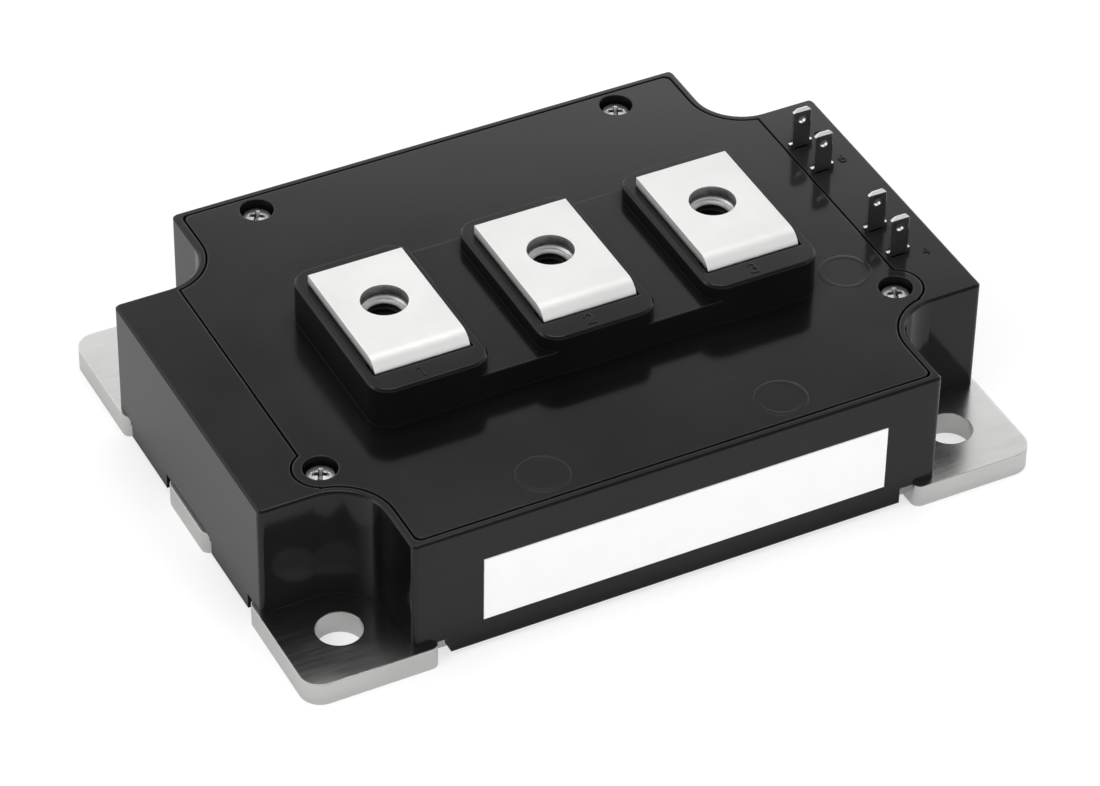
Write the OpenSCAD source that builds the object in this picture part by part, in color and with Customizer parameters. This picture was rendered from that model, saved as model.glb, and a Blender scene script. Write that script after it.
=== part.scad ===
// Half-bridge power module in the 110 x 80 mm screw-terminal package.
// A nickel-plated base plate carries two bonded ceramic substrates. A moulded case stands on
// the plate, and a lid with three terminal blocks closes it. Each block traps a nut under a
// bent terminal plate, and four signal tabs stand on the case's end deck.
// Origin: centre of the plate's underside. X runs along the length, with the signal tabs at
// its + end. Y runs across, with the label on the - side. Z is up. All sizes in millimetres.

/* [Base plate] */
// Length of the base plate
plate_l = 110; // [106:0.5:118]
// Width of the base plate
plate_w = 80; // [77:0.5:86]
// Thickness of the base plate
plate_t = 3.5; // [3:0.1:5]
// Corner radius of the four ears
ear_r = 3; // [1:0.5:4]
// Corner radius where the plate steps in beside the case's skirts
step_r = 1.2; // [0.4:0.1:1.5]
// Distance of the mounting holes from the plate's ends
hole_in_x = 8.5; // [7.5:0.1:10]
// Distance of the mounting holes from the plate's long sides
hole_in_y = 9; // [7.5:0.1:10]
// Diameter of the mounting holes
hole_d = 6.5; // [5.5:0.1:7]

/* [Case] */
// Height of the case's top above the underside of the plate
case_top = 21.2; // [19.5:0.1:24]
// How far the plate shows past the case at each end
end_reveal = 0.5; // [0.3:0.1:1]
// How far the plate shows past the case along each side
side_reveal = 1; // [0.6:0.1:1.4]
// Radius of the notch round each mounting hole
notch_r = 7; // [6:0.1:7.5]
// Radius of the case's upright outer edges
case_r = 0.8; // [0.4:0.1:1.5]
// Bevel along the case's top edges
case_bevel = 0.3; // [0.2:0.1:0.5]
// Thickness of the case's walls
wall_t = 3; // [2.4:0.1:3.5]
// Width of each end deck, from the lid to the case's end
deck_w = 9.5; // [8.5:0.1:10.5]
// Thickness of the end decks, ledge included
deck_t = 5; // [5:0.1:6.5]
// Width of the case's rim beside the lid
rim_w = 1; // [0.7:0.1:1.4]
// How far the skirt along each long side ends short of the notches
skirt_in = 5.5; // [4:0.1:12]
// Width of each of the two hooks that hang past each end of the plate
hook_w = 12; // [8:0.5:13]
// Distance of each hook from the nearer notch
hook_in = 4.5; // [3.6:0.1:5.5]
// Thickness of the skirts and hooks
skirt_t = 2; // [1.4:0.1:2.4]
// Height of the skirts' and hooks' lower edge above the underside
skirt_lift = 1; // [0.6:0.1:2]
// Height of the bench that carries the signal tabs' feet, above the plate
bench_h = 6.5; // [5:0.1:7.5]
// How far the bench reaches inwards past the tabs
bench_in = 3; // [2:0.1:4]

/* [Lid] */
// Thickness of the lid
lid_t = 3.5; // [3.2:0.1:4]
// Gap all round the lid
lid_gap = 0.3; // [0.1:0.05:0.4]
// Corner radius of the lid
lid_r = 1; // [0.5:0.1:1.5]
// Width of the ledge that the lid rests on at each end
ledge_w = 2; // [1.5:0.1:2.5]

/* [Lid screws] */
// Thread diameter of the lid screws
screw_d = 2.6; // [2.2:0.1:3]
// Length of the lid screws under the head
screw_l = 10; // [8:0.5:11]
// Diameter of the screw heads
head_d = 4.2; // [3.8:0.1:4.4]
// Height of the screw heads
head_h = 1.2; // [0.9:0.1:1.3]
// Depth of the wells that the heads sit in
well_h = 2.2; // [1.8:0.1:2.4]
// Diameter of the wells
well_d = 4.8; // [4.6:0.1:5.2]
// Length of the arms of the cross recess in a head, from end to end
recess_l = 2.5; // [2:0.1:3]
// Width of the arms of the cross recess
recess_w = 0.6; // [0.4:0.1:0.8]
// Depth of the cross recess
recess_h = 0.8; // [0.5:0.1:0.9]
// Distance of the end screws inside the lid's end edges
end_screw_in = 1.5; // [1:0.1:2.5]
// Distance of the end screws from the notches' flats
end_screw_off = 4.7; // [4.3:0.1:6]
// Radius of the lid's lobes round the end screws
lobe_r = 3.7; // [3.2:0.1:4]
// Distance of the side screws from the notches' sides
side_screw_in = 11.2; // [8:0.1:14]
// Distance of the side screws from the case's long side
side_screw_off = 4.2; // [4:0.1:6]
// Outer diameter of the bosses under the lid screws
boss_d = 6.4; // [5.6:0.1:7]

/* [Terminal blocks] */
// Distance between neighbouring main terminals
pitch = 25; // [23:0.5:26]
// Height of the blocks' tops above the underside of the plate
block_top = 27.5; // [26:0.1:32]
// Width of a block
block_w = 17.4; // [16:0.1:19]
// Distance of a block's front from the terminals' hole line
block_front = 16; // [15:0.1:18]
// Distance of a block's back from the terminals' hole line
block_back = 12.5; // [11:0.1:15]
// Radius of the blocks' upright edges
block_r = 3; // [1.5:0.1:4]
// Bevel round the blocks' tops
block_bevel = 0.3; // [0.2:0.1:1]
// Height of the web between the blocks, above the lid
web_h = 3.9; // [1:0.1:5]
// How far the web stands in from the blocks' fronts and backs
web_in = 0.2; // [0.1:0.1:2]

/* [Main terminals] */
// Width of a terminal plate
bus_w = 14; // [12:0.1:15]
// Thickness of a terminal plate
bus_t = 1.5; // [1:0.1:1.6]
// Inner radius of the bends
bend_r = 1; // [0.8:0.1:1.4]
// Distance of the plate's free end from its hole
bus_back = 9.3; // [8:0.1:11]
// Distance of the leg's outer face from the hole
bus_front = 12; // [11.5:0.1:12.6]
// Diameter of the screw hole in the plate
bus_hole_d = 6.6; // [6.2:0.1:7]
// Width of the foot of an outer terminal
foot_w = 9; // [6:0.5:10]
// Width of each of the two feet of the middle terminal
twin_foot_w = 4; // [3:0.1:5]
// Flat length of the feet
foot_l = 3.5; // [2.5:0.1:5]

/* [Nuts] */
// Distance across the flats of a nut
nut_af = 10; // [9.4:0.1:10.4]
// Height of a nut
nut_h = 5; // [4:0.1:5.2]
// Diameter of the nut's bore at the crests of its thread
nut_bore_d = 5; // [4.6:0.1:5.4]
// Diameter of the countersink at each face of a nut
nut_sink_d = 6.4; // [6:0.1:7]
// Clear depth for a terminal screw's tip under the nut
tip_room = 6; // [4:0.1:7]
// Diameter of that clearance
tip_d = 7.2; // [6.8:0.1:8]
// Wall of the well round the screw's tip
tip_wall = 1.6; // [1.2:0.1:2]

/* [Signal tabs] */
// Width of a tab's blade
tab_w = 2.8; // [2.2:0.1:3.2]
// Thickness of the tabs
tab_t = 0.5; // [0.4:0.1:0.8]
// Height of the tabs' tips above the underside of the plate
tab_top = 28; // [26.5:0.1:30]
// Width of a tab's shoulders
tab_shoulder_w = 3.6; // [3.4:0.1:4]
// Width of a tab's shank, through the deck and below it
tab_shank_w = 1.8; // [1.4:0.1:2]
// Height of a tab's shoulders
tab_shoulder_h = 0.9; // [0.6:0.1:1.2]
// Diameter of the hole in a blade
tab_hole_d = 1.2; // [0.8:0.1:1.4]
// Height of the lead bevels on both faces of a tip
tab_lead_h = 0.5; // [0.3:0.1:0.8]
// How far a lead bevel goes into the blade's thickness at the tip
tab_lead_in = 0.15; // [0.05:0.05:0.15]
// Distance of that hole below the tip
tab_hole_drop = 1.9; // [1.6:0.1:2.4]
// Distance of the tabs from the lid's end edge
tab_in = 2.4; // [2:0.1:3]
// Distance between the two tabs of a pair
tab_pitch = 6.3; // [5.6:0.1:7]
// Distance of the middle of each pair from the nearer notch
pair_in = 13.3; // [12:0.1:14.5]
// How far the tabs' pattern lies off the centre line
tab_shift = 0.8; // [-1:0.1:1]
// Length of a tab's foot
tab_foot_l = 2.6; // [2:0.1:3.2]

/* [Substrates] */
// Room between the ceramic tiles and the case's walls beside the notches
tile_room = 1.5; // [0.8:0.1:2.5]
// Width of a ceramic tile along Y
tile_w = 50; // [48.5:0.5:52]
// Thickness of the ceramic
tile_t = 0.64; // [0.4:0.02:1]
// Gap between the two tiles
tile_gap = 2; // [1:0.1:2.4]
// Thickness of the copper on both faces
copper_t = 0.3; // [0.2:0.05:0.5]
// Bare margin of ceramic round the copper
copper_in = 0.8; // [0.5:0.1:1]
// Gap between two tracks
track_gap = 1; // [0.6:0.1:1.2]
// Width of the emitter track beside the chips
emitter_w = 5.6; // [4:0.1:6]
// Width of a signal track
signal_w = 1.4; // [1:0.1:1.5]
// Copper left on each side of a square transistor chip
igbt_in = 0.45; // [0.3:0.05:1]
// Copper left on each side of a square diode chip
diode_in = 1.25; // [0.8:0.05:2]
// Copper left in front of and behind the rows of chips
row_in = 1; // [0.6:0.1:1.5]
// Copper that shows behind the terminals' feet
pad_in = 1; // [0.5:0.1:2]
// Thickness of the chips
chip_t = 0.35; // [0.2:0.05:0.5]

/* [Bond wires] */
// Diameter of the bond wires
wire_d = 0.4; // [0.3:0.05:0.5]
// Rise of a wire's arc as a share of its span
wire_rise = 0.28; // [0.2:0.01:0.35]
// Distance between neighbouring wires on one chip
wire_pitch = 2.2; // [1.6:0.1:2.2]

/* [Label] */
// Length of the blank label
label_l = 60.6; // [40:0.2:64]
// Height of the blank label
label_h = 10.4; // [6:0.1:12]
// Thickness of the blank label
label_t = 0.15; // [0.1:0.05:0.3]
// Distance of the label's middle from the centre line, along the case's side
label_x = 1; // [-2:0.1:2]
// Height of the label's lower edge above the underside of the plate
label_z = 5; // [4:0.1:7]

/* [Hidden] */
$fn = 64;
// Overlap of a cut past the faces that it opens
over = 1;
// Play between a fixed piece and what it passes through
play = 0.3;
// Room between the skirts or hooks and the steps of the plate, along the plate's edge
skirt_room = 2;
hook_room = 1.2;
// Material left between a boss's blind hole and its end
boss_end = 1.2;
// Play of a lid screw in its boss
pilot_play = 0.1;
// Bend radius of the signal tabs
tab_bend = 0.5;
// Bevel at the tips of the signal tabs
tab_bevel = 0.6;
// Height and radius of a bond wire's feet
wire_foot_h = 0.5;
wire_foot_r = 0.4;

case_l = plate_l - 2 * end_reveal;
case_w = plate_w - 2 * side_reveal;
hole_x = plate_l / 2 - hole_in_x;
hole_y = plate_w / 2 - hole_in_y;
// The notches' flats: the case's sides end at notch_x, its ends at notch_y
notch_x = hole_x - notch_r;
notch_y = hole_y - notch_r;
lid_l = case_l - 2 * deck_w;
skirt_l = 2 * (notch_x - skirt_in);
hook_y = notch_y - hook_in - hook_w / 2;
seat_z = case_top - lid_t;
roof_z = case_top - deck_t;
bench_z = plate_t + bench_h;
side_step_y = case_w / 2 - skirt_t - play;
end_step_x = case_l / 2 - skirt_t - play;

end_screw_y = notch_y - end_screw_off;
end_screws = [for (side = [-1, 1]) [side * (lid_l / 2 - end_screw_in), -end_screw_y]];
side_screws = [for (side = [-1, 1]) [side * (notch_x - side_screw_in), case_w / 2 - side_screw_off]];
screws = concat(end_screws, side_screws);
head_z = case_top - well_h;
pilot_d = screw_d + pilot_play;
boss_z = head_z - screw_l - boss_end;

bus_xs = [-pitch, 0, pitch];
bus_z = block_top + bus_t;
bend_out = bend_r + bus_t;
nut_z = block_top - nut_h - play;
tip_z = nut_z - tip_room;

tab_x = lid_l / 2 + tab_in;
// The front pair's feet point to the front, the back pair's to the back
tab_feet = [-1, -1, 1, 1];
pair_y = notch_y - pair_in;
tab_ys = [for (pair = [-1, 1], tab = [-1, 1]) tab_shift + pair * pair_y + tab * tab_pitch / 2];

ceramic_z = plate_t + copper_t;
track_z = ceramic_z + tile_t;
chip_z = track_z + copper_t;
wire_z = chip_z + chip_t;
tile_l = notch_x - wall_t - tile_room - tile_gap / 2;
tile_xs = [-(tile_l + tile_gap) / 2, (tile_l + tile_gap) / 2];

// Edges of the tracks, measured from the middle of a tile
track_x = tile_l / 2 - copper_in;
track_y = tile_w / 2 - copper_in;
row_step = signal_w + track_gap;
// The terminals' pads end behind their legs, and the chips' area begins one gap further back
pad_y = bus_t - bus_front + pad_in;
area_y0 = pad_y + track_gap;
area_y1 = track_y - 2 * row_step;
area_x0 = -track_x + emitter_w + track_gap;
area_x1 = track_x - 2 * row_step;
gate_x = track_x - signal_w / 2;
sense_x = gate_x - row_step;
through_ys = [track_y - signal_w / 2 - row_step, track_y - signal_w / 2];
chip_step = (area_x1 - area_x0) / 2;
chip_xs = [for (k = [0, 1]) area_x0 + (k + 0.5) * chip_step];
igbt_a = chip_step - 2 * igbt_in;
diode_a = chip_step - 2 * diode_in;
igbt_y = area_y1 - row_in - igbt_a / 2;
diode_y = area_y0 + row_in + diode_a / 2;

nickel = [0.84, 0.84, 0.82];
plastic = [0.11, 0.11, 0.12];
steel = [0.72, 0.72, 0.70];
copper = [0.80, 0.48, 0.30];
ceramic = [0.93, 0.93, 0.90];
silicon = [0.35, 0.37, 0.42];
aluminium = [0.86, 0.87, 0.88];
paper = [0.98, 0.98, 0.98];

// The same shape in all four quadrants
module quadrants() {
    for (turn_x = [0, 1], turn_y = [0, 1])
        mirror([turn_x, 0, 0]) mirror([0, turn_y, 0]) children();
}

// 2D: what lies outside a corner of radius r at point p, where dir points out of the corner
module corner_waste(p, dir, r) {
    difference() {
        translate(p - r / 2 * dir + over / 2 * dir) square(r + over, center = true);
        translate(p - r * dir) circle(r);
    }
}

// 2D: a centred rectangle with corners of radius r
module rounded(size, r) {
    difference() {
        square(size, center = true);
        quadrants() corner_waste(size / 2, [1, 1], r);
    }
}

// ---- Base plate ----

// 2D: a step cut into an edge that lies on y = 0, with the corners beside it rounded off
module edge_step(from, to, depth) {
    translate([from, -depth]) square([to - from, depth + over]);
    corner_waste([from, 0], [1, 1], step_r);
    corner_waste([to, 0], [-1, 1], step_r);
}

module plate_plan() {
    skirt_end = skirt_l / 2 + skirt_room;
    hook_from = hook_y - hook_w / 2 - hook_room;
    hook_to = hook_y + hook_w / 2 + hook_room;
    difference() {
        rounded([plate_l, plate_w], ear_r);
        for (turn = [0, 180]) rotate(turn) {
            translate([0, plate_w / 2]) edge_step(-skirt_end, skirt_end, plate_w / 2 - side_step_y);
            for (flip = [0, 1]) mirror([0, flip])
                translate([plate_l / 2, 0]) rotate(-90)
                    edge_step(-hook_to, -hook_from, plate_l / 2 - end_step_x);
        }
    }
}

module base_plate() {
    color(nickel) difference() {
        linear_extrude(plate_t) plate_plan();
        quadrants() translate([hole_x, hole_y, -over]) cylinder(h = plate_t + 2 * over, d = hole_d);
    }
}

// ---- Case ----

// 2D: the case's outline, moved inwards by inset: a cross whose notches ring the mounting holes
module case_plan(inset, r) {
    notch = notch_r + inset;
    difference() {
        square([case_l - 2 * inset, case_w - 2 * inset], center = true);
        quadrants() {
            translate([hole_x, hole_y]) {
                circle(notch);
                translate([-notch, 0]) square(plate_w);
                translate([0, -notch]) square(plate_w);
            }
            corner_waste([notch_x - inset, case_w / 2 - inset], [1, 1], r);
            corner_waste([case_l / 2 - inset, notch_y - inset], [1, 1], r);
        }
    }
}

// 2D: the lid's outline, with grow added all round for the pocket that takes it
module lid_plan(grow) {
    intersection() {
        case_plan(rim_w + lid_gap - grow, lid_r);
        square([lid_l + 2 * grow, case_w], center = true);
    }
    for (p = end_screws) translate(p) circle(lobe_r + grow);
}

// The case's walls and decks, open below and hollow under the decks
module case_shell() {
    mouth_l = lid_l - 2 * ledge_w;
    difference() {
        translate([0, 0, plate_t]) linear_extrude(case_top - plate_t) case_plan(0, case_r);
        translate([0, 0, plate_t - over]) linear_extrude(roof_z - plate_t + over) case_plan(wall_t, case_r);
        translate([0, 0, roof_z - over]) linear_extrude(case_top) intersection() {
            case_plan(wall_t, case_r);
            square([mouth_l, case_w], center = true);
        }
    }
}

// Skirts along the sides and hooks at the ends, which hang past the plate's edge
module skirts() {
    drop = plate_t - skirt_lift;
    for (turn = [0, 180]) rotate(turn) {
        translate([-skirt_l / 2, case_w / 2 - skirt_t, skirt_lift]) cube([skirt_l, skirt_t, drop + over]);
        for (y = [-hook_y, hook_y])
            translate([case_l / 2 - skirt_t, y - hook_w / 2, skirt_lift]) cube([skirt_t, hook_w, drop + over]);
    }
}

// Inner bench under the signal tabs' feet
module bench() {
    translate([0, 0, plate_t]) linear_extrude(bench_h) intersection() {
        case_plan(wall_t / 2, case_r);
        translate([tab_x - bench_in, -plate_w / 2]) square([plate_l, plate_w]);
    }
}

// What is cut off the top edge of a wall that ends at y = 0, over the length l from x = 0
module edge_wedge(l) {
    rotate([90, 0, 90]) linear_extrude(l)
        polygon([[0, -case_bevel], [-case_bevel, 0], [-case_bevel, over], [over, over], [over, -case_bevel]]);
}

// What is cut off the case's top outer edges: wedges along the flats, cones round the rest
module case_bevels() {
    quadrants() translate([0, 0, case_top]) {
        translate([0, case_w / 2, 0]) edge_wedge(notch_x - case_r);
        translate([case_l / 2, notch_y - case_r, 0]) rotate(-90) edge_wedge(notch_y - case_r);
        translate([notch_x, case_w / 2 - case_r, 0]) rotate(-90) edge_wedge(case_w / 2 - case_r - hole_y);
        translate([hole_x, notch_y, 0]) edge_wedge(case_l / 2 - case_r - hole_x);
        translate([hole_x, hole_y, -case_bevel])
            cylinder(h = case_bevel, r1 = notch_r, r2 = notch_r + case_bevel);
        for (p = [[notch_x, case_w / 2], [case_l / 2, notch_y]])
            translate([p.x - case_r, p.y - case_r, -case_bevel]) difference() {
                cube([case_r + over, case_r + over, case_bevel + over]);
                cylinder(h = case_bevel, r1 = case_r, r2 = case_r - case_bevel);
                cylinder(h = case_bevel + 2 * over, r = case_r - case_bevel);
            }
    }
}

module case_frame() {
    color(plastic) difference() {
        union() {
            case_shell();
            skirts();
            bench();
            for (p = screws) translate([p.x, p.y, boss_z]) cylinder(h = seat_z - boss_z, d = boss_d);
        }
        case_bevels();
        translate([0, 0, seat_z]) linear_extrude(lid_t + over) lid_plan(lid_gap);
        for (p = screws) translate([p.x, p.y, boss_z + boss_end]) cylinder(h = case_top, d = pilot_d);
        for (y = tab_ys) translate([tab_x, y, case_top - deck_t / 2])
            cube([tab_shank_w + play, tab_t + play, deck_t + 2 * over], center = true);
    }
}

// ---- Lid ----

// A rounded block with its top edges bevelled, standing on z = 0
module bevelled_block(size, r, bevel) {
    h = size.z - bevel;
    linear_extrude(h) rounded([size.x, size.y], r);
    // The bevel: two crossed trapezoids, and a cone at each corner
    for (side = [[size.x, size.y, 0], [size.y, size.x, 90]]) rotate(side[2])
        translate([0, side[1] / 2 - r, h]) rotate([90, 0, 0]) linear_extrude(side[1] - 2 * r) polygon([
            [-side[0] / 2, 0], [side[0] / 2, 0], [side[0] / 2 - bevel, bevel], [bevel - side[0] / 2, bevel]
        ]);
    quadrants() translate([size.x / 2 - r, size.y / 2 - r, h]) cylinder(h = bevel, r1 = r, r2 = r - bevel);
}

// The three terminal blocks and the web that joins them
module terminal_blocks() {
    block_l = block_front + block_back;
    middle = (block_back - block_front) / 2;
    for (x = bus_xs) translate([x, middle, seat_z])
        bevelled_block([block_w, block_l, block_top - seat_z], block_r, block_bevel);
    translate([0, middle, seat_z + (lid_t + web_h) / 2])
        cube([2 * pitch, block_l - 2 * web_in, lid_t + web_h], center = true);
}

// Closed wells under the nut pockets
module tip_wells() {
    for (x = bus_xs) translate([x, 0, tip_z - tip_wall])
        cylinder(h = seat_z - tip_z + tip_wall + over, d = tip_d + 2 * tip_wall);
}

// What is cut out of one block: the nut's pocket, the screw tip's room and the leg's slot
module block_cuts() {
    rotate(30) translate([0, 0, nut_z]) cylinder(h = block_top, d = (nut_af + play) / cos(30), $fn = 6);
    translate([0, 0, tip_z]) cylinder(h = block_top, d = tip_d);
    slot_w = bus_w + 2 * play;
    slot_l = bend_out + play;
    translate([-slot_w / 2, -bus_front - play, seat_z - over]) cube([slot_w, slot_l, block_top]);
}

module lid() {
    color(plastic) difference() {
        union() {
            translate([0, 0, seat_z]) linear_extrude(lid_t) lid_plan(0);
            terminal_blocks();
            tip_wells();
        }
        for (x = bus_xs) translate([x, 0, 0]) block_cuts();
        for (p = screws) translate([p.x, p.y, 0]) {
            translate([0, 0, head_z]) cylinder(h = case_top, d = well_d);
            cylinder(h = case_top, d = screw_d + 2 * play);
        }
    }
}

// ---- Fasteners ----

module lid_screw(p) {
    color(steel) translate([p.x, p.y, head_z]) difference() {
        union() {
            cylinder(h = head_h, d = head_d);
            translate([0, 0, -screw_l]) cylinder(h = screw_l, d = screw_d);
        }
        for (turn = [0, 90]) rotate(turn) translate([0, 0, head_h - recess_h / 2 + over / 2])
            cube([recess_l, recess_w, recess_h + over], center = true);
    }
}

// A hexagonal nut whose corners are turned down and whose bore is countersunk at both faces
module terminal_nut(x) {
    across = nut_af / cos(30);
    sink = (nut_sink_d - nut_bore_d) / 2;
    crown = (across - nut_af) / 2;
    color(steel) translate([x, 0, nut_z]) difference() {
        intersection() {
            rotate(30) cylinder(h = nut_h, d = across, $fn = 6);
            union() {
                cylinder(h = crown / 2, d1 = nut_af, d2 = across + crown);
                translate([0, 0, crown / 2]) cylinder(h = nut_h - crown, d = across + crown);
                translate([0, 0, nut_h - crown / 2]) cylinder(h = crown / 2, d1 = across + crown, d2 = nut_af);
            }
        }
        translate([0, 0, -over]) cylinder(h = nut_h + 2 * over, d = nut_bore_d);
        translate([0, 0, nut_h - sink]) cylinder(h = sink + play, d1 = nut_bore_d, d2 = nut_sink_d + 2 * play);
        translate([0, 0, -play]) cylinder(h = sink + play, d1 = nut_sink_d + 2 * play, d2 = nut_bore_d);
    }
}

// ---- Main terminals ----

// 2D: a quarter of a ring, in the quadrant that dir points to
module quarter_ring(r, t, dir) {
    intersection() {
        difference() {
            circle(r + t);
            circle(r);
        }
        translate((r + t) / 2 * dir) square(r + t, center = true);
    }
}

// 2D, across (y) and up (z): plate on the nut, bend, leg, bend and foot
module bus_side() {
    top = bus_z - bend_out;
    foot = chip_z + bend_out;
    translate([bend_out - bus_front, block_top]) square([bus_back + bus_front - bend_out, bus_t]);
    translate([bend_out - bus_front, top]) quarter_ring(bend_r, bus_t, [-1, 1]);
    translate([-bus_front, foot]) square([bus_t, top - foot]);
    translate([-bus_front - bend_r, foot]) quarter_ring(bend_r, bus_t, [1, -1]);
    translate([-bus_front - bend_r - foot_l, chip_z]) square([foot_l, bus_t]);
}

// A terminal: its side outline, as wide as the plate above the case's cavity and narrower below
module main_terminal(k) {
    x = bus_xs[k];
    narrow_z = (seat_z + chip_z) / 2;
    inner = tile_gap / 2 + copper_in + play;
    feet = k == 1
        ? [[-inner - twin_foot_w, twin_foot_w], [inner, twin_foot_w]]
        : [[-foot_w / 2, foot_w]];
    color(nickel) translate([x, 0, 0]) difference() {
        intersection() {
            rotate([90, 0, 90]) linear_extrude(plate_l, center = true) bus_side();
            union() {
                translate([-bus_w / 2, -plate_w / 2, narrow_z]) cube([bus_w, plate_w, bus_z]);
                for (foot = feet)
                    translate([foot[0], -plate_w / 2, 0]) cube([foot[1], plate_w, narrow_z + over]);
            }
        }
        translate([0, 0, block_top - over]) cylinder(h = bus_t + 2 * over, d = bus_hole_d);
    }
}

// ---- Signal tabs ----

// A tab: bevelled blade, shoulders on the deck, shank through it and a foot on the bench
module signal_tab(k) {
    blade_z = case_top + tab_shoulder_h;
    bend = tab_bend + tab_t;
    color(nickel) translate([tab_x, tab_ys[k], 0]) {
        difference() {
            rotate([90, 0, 0]) linear_extrude(tab_t, center = true) {
                translate([-tab_w / 2, blade_z]) square([tab_w, tab_top - tab_bevel - blade_z]);
                translate([0, tab_top - tab_bevel]) polygon([
                    [-tab_w / 2, 0], [tab_w / 2, 0],
                    [tab_w / 2 - tab_bevel, tab_bevel], [tab_bevel - tab_w / 2, tab_bevel]
                ]);
                translate([-tab_shoulder_w / 2, case_top]) square([tab_shoulder_w, tab_shoulder_h]);
                translate([-tab_shank_w / 2, bench_z + bend]) square([tab_shank_w, case_top - bench_z - bend]);
            }
            translate([0, tab_t, tab_top - tab_hole_drop]) rotate([90, 0, 0])
                cylinder(h = 2 * tab_t, d = tab_hole_d);
            // The lead bevels, cut along lines that run on past the tip by their own height
            for (side = [0, 1]) mirror([0, side, 0]) translate([0, tab_t / 2, tab_top])
                rotate([90, 0, 90]) linear_extrude(tab_w + over, center = true)
                    polygon([
                        [0, -tab_lead_h], [-2 * tab_lead_in, tab_lead_h], [over, tab_lead_h], [over, -tab_lead_h]
                    ]);
        }
        // The bend and the foot, drawn for a foot that points to the back
        mirror([0, tab_feet[k] < 0 ? 1 : 0, 0]) rotate([90, 0, 90]) linear_extrude(tab_shank_w, center = true) {
            translate([tab_bend + tab_t / 2, bench_z + bend]) quarter_ring(tab_bend, tab_t, [-1, -1]);
            translate([tab_bend + tab_t / 2, bench_z]) square([tab_foot_l - bend, tab_t]);
        }
    }
}

// ---- Substrates ----

module tile_layer(x, z, size, t) {
    translate([x, 0, z + t / 2]) cube([size.x, size.y, t], center = true);
}

module bottom_copper(side) {
    color(copper) tile_layer(tile_xs[side], plate_t, [2 * track_x, 2 * track_y], copper_t);
}

module ceramic_tile(side) {
    color(ceramic) tile_layer(tile_xs[side], ceramic_z, [tile_l, tile_w], tile_t);
}

// 2D: a rectangle between two opposite corners
module span(a, b) {
    translate([a.x, a.y]) square([b.x - a.x, b.y - a.y]);
}

// The etched copper of one tile: emitter, collector, gate and sense tracks, and two through tracks
module tracks(side) {
    color(copper) translate([tile_xs[side], 0, track_z]) linear_extrude(copper_t) {
        span([-track_x, -track_y], [-track_gap / 2, pad_y]);
        span([-track_x, pad_y - over], [-track_x + emitter_w, area_y1]);
        span([track_gap / 2, -track_y], [track_x, pad_y]);
        span([track_gap / 2, pad_y - over], [area_x1, area_y0 + over]);
        span([area_x0, area_y0], [area_x1, area_y1]);
        for (x = [gate_x, sense_x]) span([x - signal_w / 2, area_y0], [x + signal_w / 2, area_y1]);
        for (y = through_ys) span([-track_x, y - signal_w / 2], [track_x, y + signal_w / 2]);
    }
}

// A chip: k counts the chips of its kind from left to right over both tiles
module chip(k, y, a) {
    color(silicon) translate([tile_xs[floor(k / 2)] + chip_xs[k % 2], y, chip_z + chip_t / 2])
        cube([a, a, chip_t], center = true);
}

// ---- Bond wires ----

// A wire from a to b, points on the two faces that it is bonded to: an arc that ends in two feet
module bond_wire(a, b) {
    flat = norm([b.x - a.x, b.y - a.y]);
    chord = norm(b - a);
    rise = wire_rise * chord;
    r = (chord * chord / 4 + rise * rise) / (2 * rise);
    half = 2 * atan(2 * rise / chord);
    translate((a + b) / 2 + [0, 0, wire_foot_h - wire_d / 2])
        rotate([0, 0, atan2(b.y - a.y, b.x - a.x)]) rotate([0, -atan2(b.z - a.z, flat), 0])
            translate([0, 0, rise - r]) rotate([90, 0, 0]) rotate([0, 0, 90 - half])
                rotate_extrude(angle = 2 * half) translate([r, 0]) circle(d = wire_d);
    for (p = [a, b]) translate(p) cylinder(h = wire_foot_h, r = wire_foot_r);
}

// A row of count wires a pitch apart across y, from chip to chip and on to the emitter track
module emitter_wires(y, count) {
    xs = [chip_xs[1], chip_xs[0], -track_x + emitter_w / 2];
    for (k = [0:count - 1]) {
        wire_y = y + (k - (count - 1) / 2) * wire_pitch;
        bond_wire([xs[0], wire_y, wire_z], [xs[1] + wire_foot_r + play, wire_y, wire_z]);
        bond_wire([xs[1] - wire_foot_r - play, wire_y, wire_z], [xs[2], wire_y, chip_z]);
    }
}

// All wires of one tile: emitters, gates, and one from an emitter to the sense track
module bond_wires(side) {
    gate_y = igbt_y + igbt_a / 2 - wire_foot_r - play;
    color(aluminium) translate([tile_xs[side], 0, 0]) {
        emitter_wires(igbt_y - wire_foot_r, 3);
        emitter_wires(diode_y, 3);
        bond_wire([chip_xs[0], gate_y, wire_z], [gate_x, gate_y, chip_z]);
        bond_wire([chip_xs[1] + igbt_a / 4, gate_y - 2 * wire_foot_r - play, wire_z],
            [gate_x, gate_y - 2 * wire_foot_r - play, chip_z]);
        bond_wire([chip_xs[1] + igbt_a / 4, igbt_y - igbt_a / 4, wire_z], [sense_x, igbt_y - igbt_a / 4, chip_z]);
    }
}

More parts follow.
